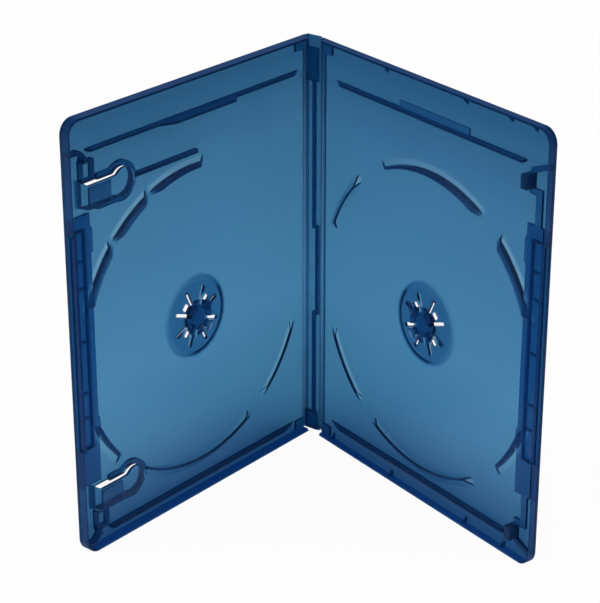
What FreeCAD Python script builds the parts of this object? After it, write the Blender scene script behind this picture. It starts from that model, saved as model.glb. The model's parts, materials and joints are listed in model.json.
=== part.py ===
import FreeCAD, Part
import math
import os

# Video disc case for two discs: a front cover, a spine and a back cover joined by two living
# hinges, with a clear film sleeve over the outside. It stands open on its lower edges.
# Every cover is drawn flat first: u runs from the hinge axis to the opening edge, w from the
# outer face inwards and v upwards, on the X, Y and Z axes. Millimetres and degrees.
# An inset is measured back from the opening edge, a drop down from the top.

# Whole case
case_height = 171.5
cover_width = 134.4
closed_thickness = 9.0
front_depth = 4.9
parting_gap = 0.3
front_open_angle = 2.0
back_open_angle = 73.1

# Walls of the moulding
panel = 1.1
wall = 1.1
corner_radius = 6.0
edge_round = 0.8
rim_step = 0.5
rim_lip = 0.55
root = 0.3

# Living hinges
hinge_inset = 0.5
bead_radius = 0.4
hinge_clearance = 0.2
hinge_edge = 0.15
bead_end_gap = 0.8
land_width = 2.5
land_thickness = 0.7
neck_width = 0.5
neck_thickness = 0.6
wall_start = 3.2
ridge_start = 2.6
ridge_width = 1.0
ridge_height = 0.6
ridge_end_gap = 4.4

# Disc seat
hub_u = 68.0
hub_v = 74.8
ring_radius = 60.6
ring_height = 2.4
ring_top_width = 0.5
ring_base_width = 3.8
ring_skin = 1.0
ring_ramp = 4.5
front_arcs = ((19.5, 45.0), (46.0, 67.0), (68.0, 96.0),
              (-45.0, -22.5), (-120.0, -56.5), (-159.0, -129.0))
back_arcs = ((20.0, 51.0), (61.0, 117.0), (132.5, 160.5),
             (-45.5, -19.0), (-120.0, -61.0), (-158.5, -129.0))

# Hub of cantilever petals
pad_radius = 17.8
pad_slope = 2.2
pad_height = 0.9
recess_radius = 16.4
recess_slope = 1.6
recess_depth = 0.7
button_radius = 4.4
button_height = 1.0
petal_count = 8
petal_inner_radius = 4.1
petal_radius = 7.1
petal_height = 1.3
tooth_height = 2.3
hook_reach = 0.6
hook_height = 0.7
hub_slot_width = 1.5
hub_slot_inner = 4.7
hub_slot_radius = 12.3
hub_slot_angle = 20.0
hook_window_width = 3.0
hook_window_inner = 6.0
hook_window_length = 3.4

# Ribs along the top and bottom
rib_width = 1.0
rib_taper = 6.0
front_header_drop = 13.6
front_header_start = 5.0
front_header_inset = 11.2
back_header_drop = 15.0
back_header_start = 9.6
back_header_inset = 14.0
header_height = 2.6
tab_start = 45.4
tab_end = 87.8
tab_start_slope = 3.0
tab_end_slope = 6.0
tab_reach = 6.8
landing_start = 50.0
landing_length = 40.0
landing_width = 2.6
landing_height = 0.6
short_rib_start = 66.0
short_rib_drop = 29.2
short_rib_height = 1.4
front_foot_rib_v = 5.2
back_foot_rib_v = 8.4
foot_rib_start = 7.6
foot_rib_inset = 15.0
foot_rib_height = 1.6
top_gusset_starts = (41.9, 87.9)
top_gusset_insets = (22.3, 9.5)
foot_gusset_starts = (10.7, 49.7)
foot_gusset_insets = (38.7, 16.5)
gusset_width = 0.9
gusset_length = 2.6
hinge_pad_start = 2.9
hinge_pad_length = 5.2
hinge_pad_height = 4.6
hinge_pad_rise = 0.9

# Opening edge
ledge_width = 10.2
ledge_rise = 1.0
ledge_low = 27.4
ledge_drop = 37.2
ledge_step = 1.0
ledge_step_length = 9.5
front_channel = 0.8
back_channel = 2.0
end_ledge_inset = 7.5
end_ledge_width = 3.0
grip_low = 43.6
grip_drop = 42.7
grip_depth = 1.0
grip_skin = 1.9
tie_offsets = (-30.7, -20.7, -0.2, 20.8, 31.3)
tie_width = 0.9
tie_length = 5.0
tie_rise = 0.8

# Booklet clips
clip_drop = 30.3
clip_rise = 20.4
clip_arm_width = 9.0
clip_thickness = 1.1
clip_lift = 3.7
clip_root_inset = 4.8
clip_root_low = 3.4
clip_root_high = 7.5
clip_foot = 1.6
clip_bend_inset = 8.8
clip_flat_inset = 19.4
clip_tip_inset = 27.4
clip_tip_radius = 5.6
clip_tip_shift = 0.7
clip_tip_fall = 1.0
collar_width = 2.2
collar_height = 1.4
collar_inset = 15.4

# Corner latches
latch_drop = 20.8
latch_rise = 11.4
latch_inset = 10.1
post_length = 3.0
post_width = 5.4
post_reach = 2.2
post_lip = 0.4
latch_clearance = 0.4
socket_wall = 0.9
socket_drop = 1.4
guard_width = 1.1
guard_corner_inset = 6.2
guard_side_inset = 8.6
guard_reach = 8.6
guard_corner_reach = 6.2
brace_width = 2.4
brace_height = 1.5
step_near = 3.0
step_far = 5.1
step_inner_inset = 11.1
step_outer_inset = 4.5

# Inside of the spine
spine_rib_width = 1.1
spine_rib_height = 1.7
spine_rib_s = 2.5
spine_rib_shift = 1.6
spine_jog_low = 54.5
spine_jog_high = 92.5
spine_block_height = 1.4
spine_block_start = 0.8
spine_top_block_end = 5.5
spine_top_block_low_drop = 16.8
spine_top_block_high_drop = 4.4
spine_tab_end = 6.7
spine_tab_low_drop = 18.0
spine_tab_high_drop = 14.5
spine_foot_block_end = 7.0
spine_foot_block_low = 0.8
spine_foot_block_high = 8.8

# Film sleeve
film = 0.15
film_gap = 0.1
film_drop = 14.0
film_foot = 1.6
film_edge = 1.4
film_notch_start = 50.0
film_notch_length = 40.0
film_notch_depth = 1.4

back_depth = closed_thickness - front_depth - parting_gap
hinge_span = closed_thickness - 2 * hinge_inset
base = panel - root
ledge_top = panel + ledge_rise
ledge_high = case_height - ledge_drop
grip_high = case_height - grip_drop
clip_places = (case_height - clip_drop, clip_rise)
latch_places = ((case_height - latch_drop, 1), (latch_rise, -1))
latch_u = cover_width - latch_inset
film_top = case_height - film_drop


def point(u, w, v):
    return FreeCAD.Vector(u, w, v)


def block(u_range, w_range, v_range):
    size = [high - low for low, high in (u_range, w_range, v_range)]
    return Part.makeBox(*size, point(u_range[0], w_range[0], v_range[0]))


def prism(corners, direction):
    # A flat polygon pushed straight along one direction.
    wire = Part.makePolygon(corners + [corners[0]])
    return Part.Face(wire).extrude(direction)


def along_v(corners, v_middle, thickness):
    # A rib whose side view is drawn in u and w.
    low = v_middle - thickness / 2
    return prism([point(u, w, low) for u, w in corners], point(0, 0, thickness))


def along_u(corners, u_middle, thickness):
    # A gusset whose side view is drawn in w and v.
    low = u_middle - thickness / 2
    return prism([point(low, w, v) for w, v in corners], point(thickness, 0, 0))


def along_w(corners, w_low, w_high):
    # A standing wall whose plan is drawn in u and v.
    return prism([point(u, w_low, v) for u, v in corners], point(0, w_high - w_low, 0))


def turned(shape, angle):
    # Turned about the hub's axis, from u towards v.
    copy = shape.copy()
    copy.rotate(point(hub_u, 0, hub_v), point(0, -1, 0), angle)
    return copy


def parallel_edges(shape, direction, place):
    # Straight edges along one direction that pass the test on their middle point.
    found = []
    for edge in shape.Edges:
        if isinstance(edge.Curve, Part.Line):
            if abs(abs(edge.Curve.Direction.dot(direction)) - 1) < 1e-6:
                if place(edge.CenterOfMass):
                    found.append(edge)
    return found


def rounded_slab(inset, w_low, w_high, u_low):
    # A slab with the cover's outline, drawn in by an inset, and round corners at the opening.
    slab = block((u_low, cover_width - inset), (w_low, w_high), (inset, case_height - inset))
    edges = parallel_edges(slab, point(0, 1, 0), lambda c: c.x > cover_width - inset - 0.01)
    return slab.makeFillet(corner_radius - inset, edges)


def tray(depth):
    # Outer shell of a cover: panel, three walls with a stepped rim, and a thin land that ends
    # in the hinge groove.
    shell = rounded_slab(0, 0, depth, hinge_edge)
    outer = [e for e in shell.Edges if e.BoundBox.YMax < 1e-6 and e.BoundBox.XMax > hinge_edge + 0.01]
    shell = shell.makeFillet(edge_round, outer)
    ends = (-wall, case_height + wall)
    cuts = [rounded_slab(wall, panel, depth + wall, -wall)]
    cuts.append(rounded_slab(rim_lip, depth - rim_step, depth + wall, -wall))
    cuts.append(block((-wall, wall_start), (panel, depth + wall), ends))
    cuts.append(block((-wall, land_width), (land_thickness, depth + wall), ends))
    groove = bead_radius + hinge_clearance
    cuts.append(Part.makeCylinder(groove, case_height, point(0, hinge_inset, 0)))
    return shell.cut(cuts)


def grip(depth):
    # Finger groove along the middle of the opening edge, and the wall set in behind it.
    reach = (panel, depth - rim_step)
    inner = cover_width - grip_depth - wall
    backing = block((inner, cover_width - wall + root), reach, (grip_low - wall, grip_high + wall))
    groove = block((cover_width - grip_depth, cover_width + wall),
                   (grip_skin, depth + wall), (grip_low, grip_high))
    return backing, groove


def ledge(channel):
    # Low step inside the opening edge, joined to the wall behind the grip, thicker at both ends
    # of the grip, with short cross ties.
    inner = cover_width - wall - ledge_width
    outer = cover_width - wall + root
    height = (base, ledge_top)
    pieces = [block((inner, cover_width - wall - channel), height, (ledge_low, ledge_high))]
    pieces.append(block((inner, outer), height, (grip_low - wall, grip_high + wall)))
    for low in (grip_low, grip_high - ledge_step_length):
        pieces.append(block((inner - ledge_step, outer), height, (low, low + ledge_step_length)))
    for offset in tie_offsets:
        low = (grip_low + grip_high - tie_width) / 2 + offset
        pieces.append(block((outer - root - tie_length, outer), (base, ledge_top + tie_rise),
                            (low, low + tie_width)))
    return pieces


def end_ledges():
    # Narrow runs of the back cover's ledge that go on to the steps of the corner latches.
    inner = cover_width - end_ledge_inset
    ranges = ((latch_rise + step_near, ledge_low + root),
              (ledge_high - root, case_height - latch_drop - step_near))
    return [block((inner, inner + end_ledge_width), (base, ledge_top), v_range) for v_range in ranges]


def ring_stretch(start, end, profile, floor):
    # A profile drawn in radius and w, swept about the hub's axis, with both ends ramped up from a floor.
    section = [point(hub_u + r, w, hub_v) for r, w in profile]
    face = Part.Face(Part.makePolygon(section + [section[0]]))
    arc = turned(face.revolve(point(hub_u, 0, hub_v), point(0, -1, 0), end - start), start)
    inner = hub_u + ring_radius - wall
    across = point(ring_base_width + 2 * wall, 0, 0)
    peak = floor + ring_height + root
    for angle, side in ((start, -1), (end, 1)):
        reach = side * ring_ramp
        corners = ((floor, 0), (peak, -reach), (peak, reach), (floor, reach))
        ramp = prism([point(inner, w, hub_v + v) for w, v in corners], across)
        arc = arc.cut(turned(ramp, angle))
    return arc


def ring_ridge(start, end):
    # One stretch of the disc ring: a steep inner wall and a sloping back, inside the cover's walls.
    outer = ring_radius + ring_base_width
    top = panel + ring_height
    profile = ((ring_radius, base), (ring_radius, top), (ring_radius + ring_top_width, top),
               (outer, panel), (outer, base))
    limit = rounded_slab(wall - root, 0, closed_thickness, land_width + root)
    return ring_stretch(start, end, profile, panel).common(limit)


def ring_hollow(start, end):
    # The hollow behind a ridge, open on the outer face, that leaves the ridge about as thin as the panel.
    inner = ring_radius + ring_skin
    outer = ring_radius + ring_base_width
    rise = ring_height * (ring_base_width - ring_skin) / (ring_base_width - ring_top_width)
    profile = ((inner, -root), (inner, rise), (outer, 0), (outer, -root))
    limit = rounded_slab(wall + ring_skin, -root, closed_thickness, land_width + ring_skin)
    return ring_stretch(start, end, profile, 0).common(limit)


def hub():
    # Round pad with a button and raised petals; every second petal is a tooth with a hook over the disc.
    centre = point(hub_u, base, hub_v)
    inwards = point(0, 1, 0)
    pad = Part.makeCone(pad_radius, pad_radius - pad_slope, pad_height + root, centre, inwards)
    top = panel + pad_height
    button_foot = point(hub_u, top - root, hub_v)
    button = Part.makeCylinder(button_radius, button_height + root, button_foot, inwards)
    pieces = [pad, button]
    pitch = 360 / petal_count
    for index in range(petal_count):
        middle = hub_slot_angle + (index + 0.5) * pitch
        height = (tooth_height, petal_height)[index % 2]
        pieces.append(petal(middle, pitch, petal_radius, top - root, top + height))
        if index % 2 == 0:
            hook_low = top + height - hook_height
            pieces.append(petal(middle, pitch, petal_radius + hook_reach, hook_low, top + height))
    return pieces


def petal(middle, pitch, radius, w_low, w_high):
    # A ring sector about the hub's axis.
    section = [point(hub_u + r, w, hub_v) for r, w in (
        (petal_inner_radius, w_low), (radius, w_low), (radius, w_high), (petal_inner_radius, w_high))]
    face = Part.Face(Part.makePolygon(section + [section[0]]))
    sector = face.revolve(point(hub_u, 0, hub_v), point(0, -1, 0), pitch)
    return turned(sector, middle - pitch / 2)


def hub_cuts():
    # The recess on the outer face that keeps the pad thin, the slots that free the petals, and a
    # window under every tooth's hook.
    deep = (-wall, closed_thickness)
    pad_top = panel + pad_height
    cuts = [Part.makeCone(recess_radius + recess_slope, recess_radius - recess_slope, 2 * recess_depth,
                          point(hub_u, -recess_depth, hub_v), point(0, 1, 0))]
    pitch = 360 / petal_count
    slot = block((hub_u + hub_slot_inner, hub_u + hub_slot_radius), deep,
                 (hub_v - hub_slot_width / 2, hub_v + hub_slot_width / 2))
    inner = hub_u + hook_window_inner
    window = block((inner, inner + hook_window_length), (-wall, pad_top),
                   (hub_v - hook_window_width / 2, hub_v + hook_window_width / 2))
    for index in range(petal_count):
        cuts.append(turned(slot, hub_slot_angle + index * pitch))
        if index % 2 == 0:
            cuts.append(turned(window, hub_slot_angle + (index + 0.5) * pitch))
    return cuts


def long_rib(start, end, height, v_middle, crown):
    # A rib across the cover, tapered at the hinge end; the crown is drawn along its top.
    top = panel + height
    corners = [(start, base), (start + rib_taper, top)] + crown + [(end, top), (end, base)]
    return along_v(corners, v_middle, rib_width)


def front_ribs():
    # Header rib with a tall tab in the middle, foot rib and the short rib by the upper clip.
    top = panel + header_height
    crown = [(tab_start, top), (tab_start + tab_start_slope, tab_reach),
             (tab_end - tab_end_slope, tab_reach), (tab_end, top)]
    header = long_rib(front_header_start, cover_width - front_header_inset, header_height,
                      case_height - front_header_drop, crown)
    foot = long_rib(foot_rib_start, cover_width - foot_rib_inset, foot_rib_height, front_foot_rib_v, [])
    middle = case_height - short_rib_drop
    end = cover_width - clip_tip_inset - clip_tip_radius - root
    short = block((short_rib_start, end), (base, panel + short_rib_height),
                  (middle - rib_width / 2, middle + rib_width / 2))
    return [header, foot, short]


def back_ribs():
    # Header rib with a landing for the front's tab above it, foot rib and the ridge by the hinge.
    header_v = case_height - back_header_drop
    header = long_rib(back_header_start, cover_width - back_header_inset, header_height, header_v, [])
    foot = long_rib(foot_rib_start, cover_width - foot_rib_inset, foot_rib_height, back_foot_rib_v, [])
    landing = block((landing_start, landing_start + landing_length), (base, panel + landing_height),
                    (header_v, header_v + rib_width / 2 + landing_width))
    ridge = block((ridge_start, ridge_start + ridge_width), (base, panel + ridge_height),
                  (ridge_end_gap, case_height - ridge_end_gap))
    return [header, foot, landing, ridge]


def gussets():
    # Small triangles that stiffen the back cover's top and bottom walls.
    pieces = []
    height = back_depth - rim_step - panel
    for inner, side, starts, insets in ((wall, 1, foot_gusset_starts, foot_gusset_insets),
                                        (case_height - wall, -1, top_gusset_starts, top_gusset_insets)):
        corners = [(base, inner - side * root), (base, inner + side * gusset_length),
                   (panel, inner + side * gusset_length), (panel + height, inner),
                   (panel + height, inner - side * root)]
        for u in list(starts) + [cover_width - inset for inset in insets]:
            pieces.append(along_u(corners, u, gusset_width))
    return pieces


def hinge_pads():
    # Thicker pads at both ends of the hinge edge.
    pieces = []
    for low in (wall - root, case_height - wall - hinge_pad_height + root):
        pieces.append(block((hinge_pad_start, hinge_pad_start + hinge_pad_length),
                            (base, panel + hinge_pad_rise), (low, low + hinge_pad_height)))
    return pieces


def tongue(v_middle, u_end, grow, w_range):
    # Plan of a clip's arm and round tip, grown on all sides, as a slab.
    low, high = w_range
    half = clip_arm_width / 2 + grow
    tip_u = cover_width - clip_tip_inset
    arm = block((tip_u, u_end), w_range, (v_middle - half, v_middle + half))
    tip = Part.makeCylinder(clip_tip_radius + grow, high - low,
                            point(tip_u, low, v_middle + clip_tip_shift), point(0, 1, 0))
    return arm.fuse(tip)


def clip(v_middle):
    # Springy clip for a booklet: a riser by the opening edge, a flat arm and a drooping round tip.
    root_u, bend_u, flat_u, tip_u = [cover_width - inset for inset in (
        clip_root_inset, clip_bend_inset, clip_flat_inset, clip_tip_inset)]
    tip_end = tip_u - clip_tip_radius - root
    arm_top = panel + clip_lift
    tip_top = arm_top - clip_tip_fall
    side = [(root_u, base), (bend_u + clip_thickness, arm_top), (flat_u, arm_top), (tip_end, tip_top),
            (tip_end, tip_top - clip_thickness), (flat_u, arm_top - clip_thickness),
            (bend_u, arm_top - clip_thickness), (root_u - clip_foot, base)]
    strip = along_v(side, v_middle, 4 * clip_root_high)
    half = clip_arm_width / 2
    foot = [(root_u, v_middle - clip_root_low), (root_u, v_middle + clip_root_high),
            (bend_u, v_middle + half), (bend_u, v_middle - half)]
    plan = tongue(v_middle, bend_u + root, 0, (0, front_depth)).fuse(along_w(foot, 0, front_depth))
    return strip.common(plan)


def collar(v_middle):
    # Low wall round the far end of a clip's window.
    end = cover_width - collar_inset
    height = (base, panel + collar_height)
    return tongue(v_middle, end, collar_width, height).cut(tongue(v_middle, end + root, 0, height))


def clip_window(v_middle):
    # The opening in the panel under a clip's arm and tip.
    return tongue(v_middle, cover_width - clip_bend_inset, 0, (-wall, panel))


def latch_post(v_middle):
    # Post with a snap lip on the back cover; it passes the parting plane into the front's socket.
    top = back_depth + post_reach
    inner = latch_u - post_length / 2
    outer = latch_u + post_length / 2
    corners = [(inner, base), (inner, top), (outer, top), (outer + post_lip, top - post_lip),
               (outer, top - 2 * post_lip), (outer, base)]
    return along_v(corners, v_middle, post_width)


def post_supports(v_middle, side):
    # Slanting brace from the opening edge to the post, and the step on the post's other side.
    edge = cover_width - wall + root
    near = post_width / 2 - root
    brace = [(edge, v_middle + side * (guard_reach - brace_width)), (edge, v_middle + side * guard_reach),
             (latch_u, v_middle + side * (near + brace_width)), (latch_u, v_middle + side * near)]
    near, far = [v_middle - side * reach for reach in (step_near - root, step_far)]
    inner, outer = cover_width - step_inner_inset, cover_width - step_outer_inset
    step = [(inner, near), (outer, near), (outer, far), (inner, far)]
    return [along_w(brace, base, panel + brace_height), along_w(step, base, ledge_top)]


def latch_socket(v_middle):
    # Four-sided socket on the front cover round the tip of the post.
    half_u = post_length / 2 + post_lip + latch_clearance
    half_v = post_width / 2 + latch_clearance
    outside = block((latch_u - half_u - socket_wall, latch_u + half_u + socket_wall),
                    (base, front_depth - socket_drop),
                    (v_middle - half_v - socket_wall, v_middle + half_v + socket_wall))
    space = block((latch_u - half_u, latch_u + half_u), (panel, closed_thickness),
                  (v_middle - half_v, v_middle + half_v))
    return outside.cut(space)


def latch_guard(v_middle, side):
    # Bent wall on the front cover that closes the corner between the socket and the opening edge.
    edge = cover_width - wall + root
    corner = cover_width - guard_corner_inset
    inner = cover_width - guard_side_inset
    foot = post_width / 2 + latch_clearance + socket_wall / 2
    line = [(edge, guard_reach), (corner, guard_reach), (inner, guard_corner_reach), (inner, foot),
            (inner + guard_width, foot), (inner + guard_width, guard_corner_reach - guard_width / 2),
            (corner + guard_width / 2, guard_reach - guard_width), (edge, guard_reach - guard_width)]
    return along_w([(u, v_middle + side * reach) for u, reach in line], base, front_depth - rim_step)


def cover(depth, channel, arcs, extras, extra_cuts):
    # One cover, lying flat: the shell, its disc seat, its edges and what only this cover has.
    backing, groove = grip(depth)
    shell = tray(depth).fuse([ring_ridge(start, end) for start, end in arcs])
    shell = shell.cut([ring_hollow(start, end) for start, end in arcs])
    pieces = [backing] + ledge(channel) + hub() + hinge_pads() + extras
    solid = shell.fuse(pieces)
    return solid.cut([groove] + hub_cuts() + extra_cuts).removeSplitter()


def front_cover():
    extras = front_ribs()
    for v in clip_places:
        extras += [clip(v), collar(v)]
    for v, side in latch_places:
        extras += [latch_socket(v), latch_guard(v, side)]
    windows = [clip_window(v) for v in clip_places]
    return cover(front_depth, front_channel, front_arcs, extras, windows)


def back_cover():
    extras = back_ribs() + gussets() + end_ledges()
    for v, side in latch_places:
        extras += [latch_post(v)] + post_supports(v, side)
    solid = cover(back_depth, back_channel, back_arcs, extras, [])
    return solid.mirror(point(0, 0, 0), point(0, 1, 0))


def spine_rib():
    # Rib along the inside of the spine, with its middle stretch jogged towards the back cover.
    half = spine_rib_width / 2
    height = (base, panel + spine_rib_height)
    shifted = spine_rib_s - spine_rib_shift
    low = spine_foot_block_high - root
    high = case_height - spine_top_block_low_drop + root
    pieces = []
    for s, v_range in ((spine_rib_s, (low, spine_jog_low)), (shifted, (spine_jog_low, spine_jog_high)),
                       (spine_rib_s, (spine_jog_high, high))):
        pieces.append(block((s - half, s + half), height, v_range))
    for v in (spine_jog_low, spine_jog_high):
        pieces.append(block((shifted - half, spine_rib_s + half), height, (v - half, v + half)))
    return pieces


def spine():
    # Flat strip between the hinge axes with thin necks to a round bead on each axis.
    strip = block((neck_width, hinge_span - neck_width), (0, panel), (0, case_height))
    necks = block((0, hinge_span), (0, neck_thickness), (bead_end_gap, case_height - bead_end_gap))
    pieces = [necks] + spine_rib()
    top_block = (case_height - spine_top_block_low_drop, case_height - spine_top_block_high_drop)
    tab = (case_height - spine_tab_low_drop, case_height - spine_tab_high_drop)
    foot_block = (spine_foot_block_low, spine_foot_block_high)
    for end, v_range in ((spine_top_block_end, top_block), (spine_tab_end, tab),
                         (spine_foot_block_end, foot_block)):
        pieces.append(block((spine_block_start, end), (base, panel + spine_block_height), v_range))
    for s in (0, hinge_span):
        pieces.append(Part.makeCylinder(bead_radius, case_height - 2 * bead_end_gap,
                                        point(s, hinge_inset, bead_end_gap)))
    return strip.fuse(pieces).removeSplitter()


def film_sheet(u_low, u_high, notch):
    # A flat stretch of the sleeve just off an outer face, with a shallow thumb cut in its top edge.
    sheet = block((u_low, u_high), (-film_gap - film, -film_gap), (film_foot, film_top))
    if notch:
        notch_u = (film_notch_start, film_notch_start + film_notch_length)
        sheet = sheet.cut(block(notch_u, (-film_gap - 2 * film, film),
                                (film_top - film_notch_depth, film_top + film)))
    return sheet


def place(shape, axis_at, angle, mirrored):
    # Puts a flat piece's hinge axis on its place in plan and turns the piece about it.
    inset = hinge_inset if mirrored else -hinge_inset
    shape = shape.copy()
    shape.translate(point(0, inset, 0))
    shape.rotate(point(0, 0, 0), point(0, 0, 1), angle)
    shape.translate(axis_at)
    return shape


def main():
    spine_angle = -90 - back_open_angle
    front_angle = spine_angle + 90 - front_open_angle
    front_axis = point(math.cos(math.radians(spine_angle)), math.sin(math.radians(spine_angle)), 0)
    front_axis = front_axis * hinge_span
    back_axis = point(0, 0, 0)
    outer = cover_width - film_edge
    back_film = film_sheet(film_edge, outer, True).mirror(point(0, 0, 0), point(0, 1, 0))
    nodes = {
        "back_cover": place(back_cover(), back_axis, 0, True),
        "spine": place(spine(), back_axis, spine_angle, False),
        "front_cover": place(front_cover(), front_axis, front_angle, False),
        "sleeve_back": place(back_film, back_axis, 0, True),
        "sleeve_spine": place(film_sheet(film_edge, hinge_span - film_edge, False),
                              back_axis, spine_angle, False),
        "sleeve_front": place(film_sheet(film_edge, outer, True), front_axis, front_angle, False),
    }
    box = Part.makeCompound(list(nodes.values())).optimalBoundingBox()
    centre = point(-box.Center.x, -box.Center.y, 0)
    os.makedirs("parts", exist_ok=True)
    for name, shape in nodes.items():
        shape.translate(centre)
        shape.exportStep("parts/" + name + ".step")
        print(name, len(shape.Solids), shape.isValid(), round(shape.Volume, 1))
    for name, axis in (("back hinge", back_axis), ("front hinge", front_axis)):
        print(name, [round(value, 3) for value in (axis + centre)])


main()
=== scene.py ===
import json
import math

import bmesh
import bpy
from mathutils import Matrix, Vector


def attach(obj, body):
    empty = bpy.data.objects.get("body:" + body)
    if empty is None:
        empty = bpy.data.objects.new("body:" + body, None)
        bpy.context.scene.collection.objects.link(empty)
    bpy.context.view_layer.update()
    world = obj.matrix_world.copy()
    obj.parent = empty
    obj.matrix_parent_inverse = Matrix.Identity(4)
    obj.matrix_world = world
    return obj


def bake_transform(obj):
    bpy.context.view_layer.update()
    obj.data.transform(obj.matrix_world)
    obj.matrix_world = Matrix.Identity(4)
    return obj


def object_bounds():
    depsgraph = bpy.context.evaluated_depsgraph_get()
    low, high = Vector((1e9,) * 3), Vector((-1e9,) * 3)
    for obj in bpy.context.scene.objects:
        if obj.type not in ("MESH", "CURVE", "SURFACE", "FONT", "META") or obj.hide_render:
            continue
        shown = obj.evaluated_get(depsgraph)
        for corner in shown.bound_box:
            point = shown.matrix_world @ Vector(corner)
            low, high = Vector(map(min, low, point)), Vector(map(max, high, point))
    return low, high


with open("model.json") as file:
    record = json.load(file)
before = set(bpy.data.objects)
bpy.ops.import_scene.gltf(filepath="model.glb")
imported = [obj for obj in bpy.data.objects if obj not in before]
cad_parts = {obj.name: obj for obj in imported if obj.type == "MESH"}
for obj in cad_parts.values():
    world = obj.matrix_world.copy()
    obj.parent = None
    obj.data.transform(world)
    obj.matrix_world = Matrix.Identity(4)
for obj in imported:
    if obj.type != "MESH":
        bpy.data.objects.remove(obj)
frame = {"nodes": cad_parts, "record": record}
cadLow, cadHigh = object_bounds()
scene = bpy.context.scene
scene.view_settings.view_transform = "Standard"
print("frame loaded:", sorted(frame["nodes"]))


def linear(hexColour):
    # sRGB hex to the linear colour that shaders take
    values = [int(hexColour[i:i + 2], 16) / 255 for i in (1, 3, 5)]
    return [v / 12.92 if v <= 0.04045 else ((v + 0.055) / 1.055) ** 2.4 for v in values] + [1.0]


def addNode(tree, kind, settings=None, inputs=None):
    # one node with its settings; an input is a plain value or a socket to link from
    node = tree.nodes.new(kind)
    for name, value in (settings or {}).items():
        setattr(node, name, value)
    for name, value in (inputs or {}).items():
        if isinstance(value, bpy.types.NodeSocket):
            tree.links.new(value, node.inputs[name])
        else:
            node.inputs[name].default_value = value
    return node


def newMaterial(name):
    material = bpy.data.materials.new(name)
    material.use_nodes = True
    material.node_tree.nodes.clear()
    return material, material.node_tree


noiseLow, noiseHigh = 0.3, 0.7  # most values of a noise lie between these
smoothDegrees = 35              # sharper edges than this stay crisp
bevelSteps = 2
stripCorner = 1.0               # radians, and only sharper corners get a bevel
plateCorner = 0.6
touching = 1e-5                 # metres within which two places count as one

hinges = {
    # travel is the way from the spine over the hinge, turn the bend to the cover, in degrees at rest
    "Back": {"joint": "back_hinge", "body": "back_half", "travel": 16.9, "turn": -16.9},
    "Front": {"joint": "front_hinge", "body": "front_half", "travel": 196.9, "turn": 88.0},
}


def hingePlace(hinge):
    # where the hinge's axis stands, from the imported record
    joints = frame["record"]["behaviour"]["joints"]
    return Vector(next(joint["pos_m"] for joint in joints if joint["name"] == hinge["joint"]))


def hubPlaces():
    # the middle of each disc hub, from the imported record
    return [mount["pos_m"] for mount in frame["record"]["mounts"] if mount["name"].endswith("disc_hub")]


def heading(degrees):
    return Vector((math.cos(math.radians(degrees)), math.sin(math.radians(degrees)), 0))


mouldedBlue = {
    # the tint's ramp up the case's height is painted shade: lightest a little below the middle, darker
    # towards the foot and the top edge
    "heightShadeLow": "#b8c6d4",       # painted shade: darker near the foot
    "heightShadeMiddle": "#e7f1f9",
    "heightShadeUpper": "#c5cfdb",
    "heightShadeTop": "#8a9fb1",       # painted shade: darker towards the top edge
    "middleAt": 0.42,           # shares of the case's height
    "upperAt": 0.82,
    "tintHub": "#d7e2ec",       # the hubs' round pads are thicker than the panels, in two steps
    "hubMm": 16.4,
    "hubInnerMm": 14.7,
    "hubEdgeMm": 0.4,
    "tintLedge": "#bed2ea",     # the ledges along the opening edges are thicker too
    "ledgeMm": 123.1,           # from the hinge axis to the ledge
    "ledgeLowMm": 27.4,
    "ledgeHighMm": 134.3,
    "ledgeEdgeMm": 0.3,
    "tintSpine": "#bcd0e0",     # and so is the spine
    "absorb": (0.0, 0.493, 0.683),
    "density": 1660.0,          # per metre, so a 1.1 mm panel is mid blue and walls seen end on turn navy
    "ior": 1.22,                # below the book value of 1.49, because its gloss looks so weak
    "glossTint": "#6caaec",     # the gloss takes the plastic's blue
    "clear": 0.985,             # the rest is light scattered in the plastic
    "glow": 0.45,               # blue light that the cloudy plastic sends back from edges and ribs
    "glowTint": "#1c78d8",
    "glowRough": 0.7,
    "roughLow": 0.08,
    "roughHigh": 0.2,
    "flowMm": 28.0,             # long soft patches from the melt's flow
    "flowShare": 0.06,          # how far they shift the tint up or down the case
    "grainMm": 1.6,             # fine ripple of the tool's polish, drawn coarser than real so that it shows
    "grainStrength": 0.03,
    "grainDepthMm": 0.4,
}


def thickZones(tree, coord, height):
    # where the plastic is thicker: a measure in metres, the ends of a smooth step on it in mm, a tint
    look = mouldedBlue
    zones = []
    for place in hubPlaces():
        far = addNode(tree, "ShaderNodeVectorMath", {"operation": "DISTANCE"},
                      {0: coord, 1: place}).outputs["Value"]
        for edge in (look["hubMm"], look["hubInnerMm"]):
            zones.append((far, edge + look["hubEdgeMm"], edge - look["hubEdgeMm"], look["tintHub"]))
    overLow = addNode(tree, "ShaderNodeMath", {"operation": "SUBTRACT"},
                      {0: height, 1: look["ledgeLowMm"] / 1000}).outputs["Value"]
    underHigh = addNode(tree, "ShaderNodeMath", {"operation": "SUBTRACT"},
                        {0: look["ledgeHighMm"] / 1000, 1: height}).outputs["Value"]
    between = addNode(tree, "ShaderNodeMath", {"operation": "MINIMUM"},
                      {0: overLow, 1: underHigh}).outputs["Value"]
    for hinge in hinges.values():
        along = heading(hinge["travel"] + hinge["turn"])
        out = addNode(tree, "ShaderNodeVectorMath", {"operation": "DOT_PRODUCT"},
                      {0: coord, 1: along}).outputs["Value"]
        ledgeStart = hingePlace(hinge).dot(along) + look["ledgeMm"] / 1000
        overStart = addNode(tree, "ShaderNodeMath", {"operation": "SUBTRACT"},
                            {0: out, 1: ledgeStart}).outputs["Value"]
        inLedge = addNode(tree, "ShaderNodeMath", {"operation": "MINIMUM"},
                          {0: between, 1: overStart}).outputs["Value"]
        zones.append((inLedge, -look["ledgeEdgeMm"], look["ledgeEdgeMm"], look["tintLedge"]))
    return zones


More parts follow.
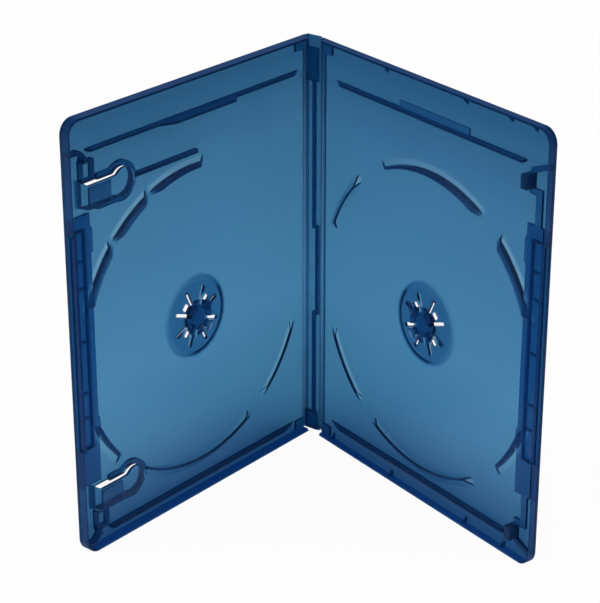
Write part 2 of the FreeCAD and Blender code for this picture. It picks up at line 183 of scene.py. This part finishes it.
def makeMouldedBlue(materialName, extraTint):
    # Translucent blue polypropylene, injection moulded in a polished tool: light passes with little
    # blur, thin panels look mid blue, ribs and walls seen along their length turn navy, and the gloss
    # is a little uneven.
    look = mouldedBlue
    material, tree = newMaterial(materialName)
    coord = addNode(tree, "ShaderNodeTexCoord").outputs["Object"]
    flow = addNode(tree, "ShaderNodeTexNoise", None,
                   {"Vector": coord, "Scale": 1000 / look["flowMm"], "Detail": 2.0, "Roughness": 0.5})
    grain = addNode(tree, "ShaderNodeTexNoise", None,
                    {"Vector": coord, "Scale": 1000 / look["grainMm"], "Detail": 3.0, "Roughness": 0.6})
    height = addNode(tree, "ShaderNodeSeparateXYZ", None, {"Vector": coord}).outputs["Z"]
    share = addNode(tree, "ShaderNodeMapRange", None,
                    {"Value": height, "From Min": 0.0, "From Max": cadHigh.z}).outputs["Result"]
    wave = addNode(tree, "ShaderNodeMath", {"operation": "MULTIPLY_ADD"},
                   {0: flow.outputs["Fac"], 1: look["flowShare"], 2: share}).outputs["Value"]
    # painted shade by height: this ramp darkens the tint towards the foot and towards the top edge
    ramp = addNode(tree, "ShaderNodeValToRGB", None, {"Fac": wave})
    stops = ramp.color_ramp.elements
    stops[0].position, stops[0].color = 0.0, linear(look["heightShadeLow"])
    stops[1].position, stops[1].color = 1.0, linear(look["heightShadeTop"])
    stops.new(look["middleAt"]).color = linear(look["heightShadeMiddle"])
    stops.new(look["upperAt"]).color = linear(look["heightShadeUpper"])
    for stop in stops:
        stop.color = [a * b for a, b in zip(stop.color, linear(extraTint))]
    tint = ramp.outputs["Color"]
    for measure, start, end, zoneTint in thickZones(tree, coord, height):
        step = addNode(tree, "ShaderNodeMapRange", {"interpolation_type": "SMOOTHSTEP"},
                       {"Value": measure, "From Min": start / 1000, "From Max": end / 1000})
        tint = addNode(tree, "ShaderNodeMix", {"data_type": "RGBA", "blend_type": "MULTIPLY"},
                       {"Factor": step.outputs["Result"], 6: tint, 7: linear(zoneTint)}).outputs[2]
    rough = addNode(tree, "ShaderNodeMapRange", None,
                    {"Value": flow.outputs["Fac"], "From Min": noiseLow, "From Max": noiseHigh,
                     "To Min": look["roughLow"], "To Max": look["roughHigh"]})
    bump = addNode(tree, "ShaderNodeBump", None,
                   {"Strength": look["grainStrength"], "Distance": look["grainDepthMm"] / 1000,
                    "Height": grain.outputs["Fac"]})
    shader = addNode(tree, "ShaderNodeBsdfPrincipled", None,
                     {"Base Color": tint, "Roughness": rough.outputs["Result"],
                      "IOR": look["ior"], "Transmission Weight": look["clear"],
                      "Specular Tint": linear(look["glossTint"]), "Sheen Weight": look["glow"],
                      "Sheen Tint": linear(look["glowTint"]), "Sheen Roughness": look["glowRough"],
                      "Normal": bump.outputs["Normal"]})
    volume = addNode(tree, "ShaderNodeVolumeAbsorption", None,
                     {"Color": list(look["absorb"]) + [1.0], "Density": look["density"]})
    addNode(tree, "ShaderNodeOutputMaterial", None,
            {"Surface": shader.outputs["BSDF"], "Volume": volume.outputs["Volume"]})
    return material


clearFilm = {
    "tint": "#eef3f6",
    "haze": 0.035,              # share of light that the film itself takes
    "ior": 1.49,
    "roughLow": 0.06,
    "roughHigh": 0.16,
    "rippleMm": 18.0,           # soft waves of a thin film that isn't stretched tight
    "rippleStrength": 0.15,
    "rippleDepthMm": 0.6,
}


def makeClearFilm():
    # Clear cast polypropylene film, thin and glossy: almost unseen face on, with soft waves in its gloss.
    look = clearFilm
    material, tree = newMaterial("clearPolypropyleneFilm")
    coord = addNode(tree, "ShaderNodeTexCoord").outputs["Object"]
    ripple = addNode(tree, "ShaderNodeTexNoise", None,
                     {"Vector": coord, "Scale": 1000 / look["rippleMm"], "Detail": 1.0})
    rough = addNode(tree, "ShaderNodeMapRange", None,
                    {"Value": ripple.outputs["Fac"], "From Min": noiseLow, "From Max": noiseHigh,
                     "To Min": look["roughLow"], "To Max": look["roughHigh"]})
    bump = addNode(tree, "ShaderNodeBump", None,
                   {"Strength": look["rippleStrength"], "Distance": look["rippleDepthMm"] / 1000,
                    "Height": ripple.outputs["Fac"]})
    shader = addNode(tree, "ShaderNodeBsdfPrincipled", None,
                     {"Base Color": linear(look["tint"]), "Roughness": rough.outputs["Result"],
                      "IOR": look["ior"], "Alpha": look["haze"], "Normal": bump.outputs["Normal"]})
    addNode(tree, "ShaderNodeOutputMaterial", None, {"Surface": shader.outputs["BSDF"]})
    return material


coverMaterial = makeMouldedBlue("translucentMouldedPolypropylene", "#ffffff")
spineMaterial = makeMouldedBlue("translucentMouldedPolypropyleneSpine", mouldedBlue["tintSpine"])
filmMaterial = makeClearFilm()
for nodeName, nodeObject in frame["nodes"].items():
    nodeObject.data.materials.clear()
    if nodeName.startswith("sleeve"):
        nodeObject.data.materials.append(filmMaterial)
    elif nodeName == "spine":
        nodeObject.data.materials.append(spineMaterial)
    else:
        nodeObject.data.materials.append(coverMaterial)
print("materials on CAD nodes")


hingeWeb = {
    "legMm": 1.2,               # how far the web runs along the cover and along the spine
    "insideMm": 0.56,           # from the hinge axis to the web's inner face
    "thickMm": 0.36,
    "lowMm": 0.6,
    "highMm": 170.9,
    "edgeMm": 0.12,
    "steps": 10,
    "slot": "blue_plastic",
}

filmFold = {
    "legMm": 2.6,               # laps over the ends of the two flat stretches beside it
    "insideMm": 1.02,
    "thickMm": 0.12,
    "lowMm": 1.8,
    "highMm": 157.3,
    "edgeMm": 0.04,
    "steps": 10,
    "slot": "clear_film",
}


def bentStrip(pieceName, sizes, hinge, material):
    # a strip that lies on the spine's outer face, turns round the hinge axis and goes on along the cover
    axis = hingePlace(hinge)
    turn = math.radians(hinge["turn"])
    side = math.copysign(1.0, turn)
    ahead, after = heading(hinge["travel"]), heading(hinge["travel"] + hinge["turn"])
    outward = Vector((ahead.y, -ahead.x, 0)) * side
    outwardAfter = Vector((after.y, -after.x, 0)) * side
    leg, inside, thick = sizes["legMm"] / 1000, sizes["insideMm"] / 1000, sizes["thickMm"] / 1000
    low, high = sizes["lowMm"] / 1000, sizes["highMm"] / 1000
    bpy.ops.object.select_all(action="DESELECT")
    bpy.ops.mesh.primitive_plane_add(size=1.0)
    strip = bpy.context.object
    strip.name = pieceName
    strip.scale = (leg, high - low, 1.0)
    strip.rotation_euler = (math.pi / 2, 0, math.radians(hinge["travel"]))
    strip.location = axis + outward * inside - ahead * leg / 2 + Vector((0, 0, (low + high) / 2))
    bpy.ops.object.transform_apply(location=True, rotation=True, scale=True)
    bpy.ops.object.mode_set(mode="EDIT")
    bpy.ops.mesh.select_mode(type="EDGE")
    bpy.ops.mesh.select_all(action="DESELECT")
    work = bmesh.from_edit_mesh(strip.data)
    farEdge = max(work.edges, key=lambda edge: min((v.co - axis).dot(ahead) for v in edge.verts))
    farEdge.select_set(True)
    bmesh.update_edit_mesh(strip.data)
    bpy.ops.mesh.spin(steps=sizes["steps"], angle=-turn, center=axis, axis=(0, 0, 1))
    bpy.ops.mesh.extrude_edges_move(TRANSFORM_OT_translate={"value": after * leg})
    bpy.ops.mesh.select_all(action="SELECT")
    bpy.ops.mesh.normals_make_consistent(inside=False)
    work = bmesh.from_edit_mesh(strip.data)
    if sum(face.normal.dot(outward + outwardAfter) for face in work.faces) < 0:
        bpy.ops.mesh.flip_normals()
    bpy.ops.object.mode_set(mode="OBJECT")
    wall = strip.modifiers.new("wall", "SOLIDIFY")
    wall.thickness, wall.offset = thick, 1.0
    bpy.ops.object.modifier_apply(modifier="wall")
    softEdge = strip.modifiers.new("softEdge", "BEVEL")
    softEdge.width, softEdge.segments = sizes["edgeMm"] / 1000, bevelSteps
    softEdge.limit_method, softEdge.angle_limit = "ANGLE", stripCorner
    bpy.ops.object.modifier_apply(modifier="softEdge")
    bpy.ops.object.shade_smooth_by_angle(angle=math.radians(smoothDegrees))
    strip.data.materials.append(material)
    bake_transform(strip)


for hingeName, hinge in hinges.items():
    bentStrip("hingeWeb" + hingeName, hingeWeb, hinge, coverMaterial)
    bentStrip("filmFold" + hingeName, filmFold, hinge, filmMaterial)
print("hinge webs and film folds")


hingeInsetMm = 0.5              # from a cover's outer face to its hinge axis


def newPlate(pieceName, hinge, lowCorner, highCorner, foot):
    # flat plate in a cover's own plan, x from the hinge axis and z up, in mm
    side = math.copysign(1.0, hinge["turn"])
    bpy.ops.object.select_all(action="DESELECT")
    bpy.ops.mesh.primitive_plane_add(size=1.0, rotation=(math.pi / 2, 0, 0))
    plate = bpy.context.object
    plate.name = pieceName
    plate.scale = ((highCorner[0] - lowCorner[0]) / 1000, (highCorner[1] - lowCorner[1]) / 1000, 1.0)
    plate.location = ((lowCorner[0] + highCorner[0]) / 2000, side * (foot - hingeInsetMm) / 1000,
                      (lowCorner[1] + highCorner[1]) / 2000)
    bpy.ops.object.transform_apply(location=True, rotation=True, scale=True)
    bpy.ops.object.mode_set(mode="EDIT")
    bpy.ops.mesh.select_mode(type="FACE")
    bpy.ops.mesh.select_all(action="SELECT")
    return plate, side


def finishPlate(plate, hinge, edgeMm):
    # closed, softened and turned to where its cover stands
    bpy.ops.mesh.select_all(action="SELECT")
    bpy.ops.mesh.normals_make_consistent(inside=False)
    bpy.ops.object.mode_set(mode="OBJECT")
    softEdge = plate.modifiers.new("softEdge", "BEVEL")
    softEdge.width, softEdge.segments = edgeMm / 1000, bevelSteps
    softEdge.limit_method, softEdge.angle_limit = "ANGLE", plateCorner
    bpy.ops.object.modifier_apply(modifier="softEdge")
    bpy.ops.object.shade_smooth_by_angle(angle=math.radians(smoothDegrees))
    plate.rotation_euler = (0, 0, math.radians(hinge["travel"] + hinge["turn"]))
    plate.location = hingePlace(hinge)
    bpy.ops.object.transform_apply(location=True, rotation=True, scale=True)
    plate.data.materials.append(coverMaterial)


def rideCover(piece, hinge):
    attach(piece, hinge["body"])


ribWalls = {
    # upper parts of the short rib beside the upper clip and of the foot ribs, slanted at their free ends
    "shortRibWall": {"hinge": "Front", "startMm": 66.0, "endMm": 101.0, "middleMm": 142.3,
                     "footMm": 2.3, "riseMm": 1.8, "slantMm": 1.4},
    "footRibWallFront": {"hinge": "Front", "startMm": 13.2, "endMm": 119.2, "middleMm": 5.2,
                         "footMm": 2.5, "riseMm": 1.3, "slantMm": 4.0},
    "footRibWallBack": {"hinge": "Back", "startMm": 13.2, "endMm": 119.2, "middleMm": 8.4,
                        "footMm": 2.5, "riseMm": 1.3, "slantMm": 4.0},
}
ribEdge = {"halfMm": 0.48, "edgeMm": 0.12}     # just inside the ribs' sides


def addRibWall(wallName, sizes):
    hinge = hinges[sizes["hinge"]]
    wall, side = newPlate(wallName, hinge, (sizes["startMm"], sizes["middleMm"] - ribEdge["halfMm"]),
                          (sizes["endMm"], sizes["middleMm"] + ribEdge["halfMm"]), sizes["footMm"])
    rise = side * sizes["riseMm"] / 1000
    bpy.ops.mesh.extrude_region_move(TRANSFORM_OT_translate={"value": (0, rise, 0)})
    work = bmesh.from_edit_mesh(wall.data)
    top = [v for v in work.verts if v.select]
    freeEnd = min(v.co.x for v in top)
    bpy.ops.mesh.select_mode(type="VERT")
    for v in top:
        v.select_set(v.co.x < freeEnd + touching)
    work.select_flush_mode()
    bmesh.update_edit_mesh(wall.data)
    bpy.ops.transform.translate(value=(sizes["slantMm"] / 1000, 0, 0))
    finishPlate(wall, hinge, ribEdge["edgeMm"])
    rideCover(wall, hinge)


ledgeRail = {
    # a thin standing rail along the ledge, with an end wall at both ends that closes the channel beside it
    "startMm": 126.8,           # from the hinge axis
    "thickMm": 0.75,
    "endMm": 132.6,             # inside the wall behind the finger grip
    "lowMm": 42.8,
    "highMm": 129.7,
    "footMm": 1.9,              # just under the ledge's top
    "riseMm": 1.5,
    "edgeMm": 0.15,
}


def addLedgeRail(hingeName, hinge):
    sizes = ledgeRail
    thick = sizes["thickMm"]
    rail, side = newPlate("ledgeRail" + hingeName, hinge, (sizes["startMm"], sizes["lowMm"]),
                          (sizes["startMm"] + thick, sizes["highMm"]), sizes["footMm"])
    for cut in (sizes["lowMm"] + thick, sizes["highMm"] - thick):
        bpy.ops.mesh.select_all(action="SELECT")
        bpy.ops.mesh.bisect(plane_co=(0, 0, cut / 1000), plane_no=(0, 0, 1))
    bpy.ops.mesh.select_mode(type="EDGE")
    bpy.ops.mesh.select_all(action="DESELECT")
    work = bmesh.from_edit_mesh(rail.data)
    outer = max(v.co.x for v in work.verts)
    for edge in work.edges:     # the two short edges towards the wall grow into the end walls
        onOuter = all(v.co.x > outer - touching for v in edge.verts)
        edge.select_set(onOuter and edge.calc_length() < 2 * thick / 1000)
    bmesh.update_edit_mesh(rail.data)
    reach = (sizes["endMm"] - sizes["startMm"] - thick) / 1000
    bpy.ops.mesh.extrude_edges_move(TRANSFORM_OT_translate={"value": (reach, 0, 0)})
    bpy.ops.mesh.select_mode(type="FACE")
    bpy.ops.mesh.select_all(action="SELECT")
    rise = side * sizes["riseMm"] / 1000
    bpy.ops.mesh.extrude_region_move(TRANSFORM_OT_translate={"value": (0, rise, 0)})
    finishPlate(rail, hinge, sizes["edgeMm"])
    rideCover(rail, hinge)


clipBar = {
    # thicker bar on the flat of a booklet clip's arm, with a shallow dish in its face
    "startMm": 114.9,
    "endMm": 126.1,
    "halfMm": 4.1,
    "upperMm": 141.2,           # heights of the two clips
    "lowerMm": 20.4,
    "footMm": 4.65,             # just under the arm's top
    "riseMm": 0.75,
    "rimMm": 1.1,
    "dishMm": 0.25,
    "edgeMm": 0.15,
}


def addClipBars():
    sizes = clipBar
    hinge = hinges["Front"]
    upper, side = newPlate("clipBarUpper", hinge, (sizes["startMm"], sizes["upperMm"] - sizes["halfMm"]),
                           (sizes["endMm"], sizes["upperMm"] + sizes["halfMm"]), sizes["footMm"])
    rise = side * sizes["riseMm"] / 1000
    bpy.ops.mesh.extrude_region_move(TRANSFORM_OT_translate={"value": (0, rise, 0)})
    bpy.ops.mesh.inset(thickness=sizes["rimMm"] / 1000)
    bpy.ops.transform.translate(value=(0, -side * sizes["dishMm"] / 1000, 0))
    finishPlate(upper, hinge, sizes["edgeMm"])
    bpy.ops.object.duplicate(linked=False)
    lower = bpy.context.object
    lower.name = "clipBarLower"
    lower.location.z = (sizes["lowerMm"] - sizes["upperMm"]) / 1000
    bpy.ops.object.transform_apply(location=True, rotation=True, scale=True)
    for bar in (upper, lower):
        rideCover(bar, hinge)


for wallName, sizes in ribWalls.items():
    addRibWall(wallName, sizes)
for hingeName, hinge in hinges.items():
    addLedgeRail(hingeName, hinge)
addClipBars()
print("rib walls, ledge rails and clip bars")


studio = {
    "floorSize": 6.0,
    "floorColour": "#f2f2f2",
    "floorWhite": 0.96,         # share of plain white that the eye sees in the floor
    "underShade": 0.05,         # metres round the foot where the floor gets less light
    "underStart": 0.4,          # how open the floor is where that shade is full
    "underColour": "#2c5f9c",   # the light that gets there came through the plastic
    "worldLight": 0.55,
    "ceiling": 0.15,            # the ceiling's level against the white by the floor
    "ceilingStart": 0.02,       # sines of the angles above the horizon where it starts and ends to fade
    "ceilingEnd": 0.15,
    "keySize": 1.2,
    "keyPower": 8.0,
    "keyAt": (-0.3, -1.0, 1.3),
    "fillSize": 1.0,
    "fillPower": 4.0,
    "fillAt": (0.9, 0.5, 1.2),
    "lampsAim": (0, 0, 0.08),
}


def seenDirectly(tree, path):
    # 1 where the eye, a gloss or a clear part looks at the surface, 0 where it only gives light
    first = addNode(tree, "ShaderNodeMath", {"operation": "MAXIMUM"},
                    {0: path["Is Camera Ray"], 1: path["Is Glossy Ray"]}).outputs["Value"]
    return addNode(tree, "ShaderNodeMath", {"operation": "MAXIMUM"},
                   {0: first, 1: path["Is Transmission Ray"]}).outputs["Value"]


def makeFloor():
    # plain pale floor that looks white, with blue shade under the case where the plastic shows it
    bpy.ops.object.select_all(action="DESELECT")
    bpy.ops.mesh.primitive_plane_add(size=studio["floorSize"], location=(0, 0, cadLow.z))
    floor = bpy.context.object
    floor.name = "paleFloor"
    material, tree = newMaterial("matPaleFloor")
    path = addNode(tree, "ShaderNodeLightPath").outputs
    diffuse = addNode(tree, "ShaderNodeBsdfDiffuse", None, {"Color": linear(studio["floorColour"])})
    under = addNode(tree, "ShaderNodeAmbientOcclusion", {"samples": 4}, {"Distance": studio["underShade"]})
    openness = addNode(tree, "ShaderNodeMapRange", None,
                       {"Value": under.outputs["AO"], "From Min": studio["underStart"]}).outputs["Result"]
    level = addNode(tree, "ShaderNodeMath", {"operation": "MAXIMUM"},
                    {0: path["Is Camera Ray"], 1: openness}).outputs["Value"]
    colour = addNode(tree, "ShaderNodeMix", {"data_type": "RGBA"},
                     {"Factor": level, 6: linear(studio["underColour"]), 7: (1, 1, 1, 1)}).outputs[2]
    white = addNode(tree, "ShaderNodeEmission", None, {"Color": colour})
    share = addNode(tree, "ShaderNodeMath", {"operation": "MULTIPLY"},
                    {0: seenDirectly(tree, path), 1: studio["floorWhite"]}).outputs["Value"]
    mix = addNode(tree, "ShaderNodeMixShader", None,
                  {0: share, 1: diffuse.outputs["BSDF"], 2: white.outputs["Emission"]})
    addNode(tree, "ShaderNodeOutputMaterial", None, {"Surface": mix.outputs["Shader"]})
    floor.data.materials.append(material)


def makeWorld():
    # white where it meets the floor, and a grey ceiling above that
    world = bpy.data.worlds.new("studioRoom")
    world.use_nodes = True
    tree = world.node_tree
    tree.nodes.clear()
    up = addNode(tree, "ShaderNodeTexCoord").outputs["Generated"]
    height = addNode(tree, "ShaderNodeSeparateXYZ", None, {"Vector": up}).outputs["Z"]
    level = addNode(tree, "ShaderNodeMapRange", None,
                    {"Value": height, "From Min": studio["ceilingStart"], "From Max": studio["ceilingEnd"],
                     "To Min": 1.0, "To Max": studio["ceiling"]}).outputs["Result"]
    light = addNode(tree, "ShaderNodeBackground", None,
                    {"Color": (1, 1, 1, 1), "Strength": studio["worldLight"]})
    white = addNode(tree, "ShaderNodeBackground", None, {"Color": (1, 1, 1, 1), "Strength": level})
    seen = seenDirectly(tree, addNode(tree, "ShaderNodeLightPath").outputs)
    mix = addNode(tree, "ShaderNodeMixShader", None,
                  {0: seen, 1: light.outputs["Background"], 2: white.outputs["Background"]})
    addNode(tree, "ShaderNodeOutputWorld", None, {"Surface": mix.outputs["Shader"]})
    scene.world = world


def addSoftbox(name, size, power, place):
    # square lamp turned to the middle of the case
    light = bpy.data.lights.new(name, "AREA")
    light.shape, light.size, light.energy = "SQUARE", size, power
    lamp = bpy.data.objects.new(name, light)
    lamp.location = place
    lamp.rotation_euler = (Vector(studio["lampsAim"]) - Vector(place)).to_track_quat("-Z", "Y").to_euler()
    scene.collection.objects.link(lamp)


makeFloor()
makeWorld()
addSoftbox("keySoftbox", studio["keySize"], studio["keyPower"], studio["keyAt"])
addSoftbox("fillSoftbox", studio["fillSize"], studio["fillPower"], studio["fillAt"])
print("floor, room and softboxes")


view = {
    "place": (0.5482, -0.3864, 0.3976),
    "yaw": -54.17,              # degrees from +Y, turned towards -X
    "pitch": 23.98,             # degrees below the horizon
    "lens": 121.95,             # mm on a 36 mm wide sensor
    "sensor": 36.0,
}


def makeCamera():
    yaw, pitch = math.radians(view["yaw"]), math.radians(view["pitch"])
    ahead = Vector((math.sin(yaw) * math.cos(pitch), math.cos(yaw) * math.cos(pitch), -math.sin(pitch)))
    camera = bpy.data.cameras.new("photoCamera")
    camera.sensor_fit, camera.sensor_width, camera.lens = "HORIZONTAL", view["sensor"], view["lens"]
    camera.clip_start, camera.clip_end = 0.01, 50.0
    holder = bpy.data.objects.new("photoCamera", camera)
    holder.location = view["place"]
    holder.rotation_euler = ahead.to_track_quat("-Z", "Y").to_euler()
    scene.collection.objects.link(holder)
    scene.camera = holder


makeCamera()
print("camera set")
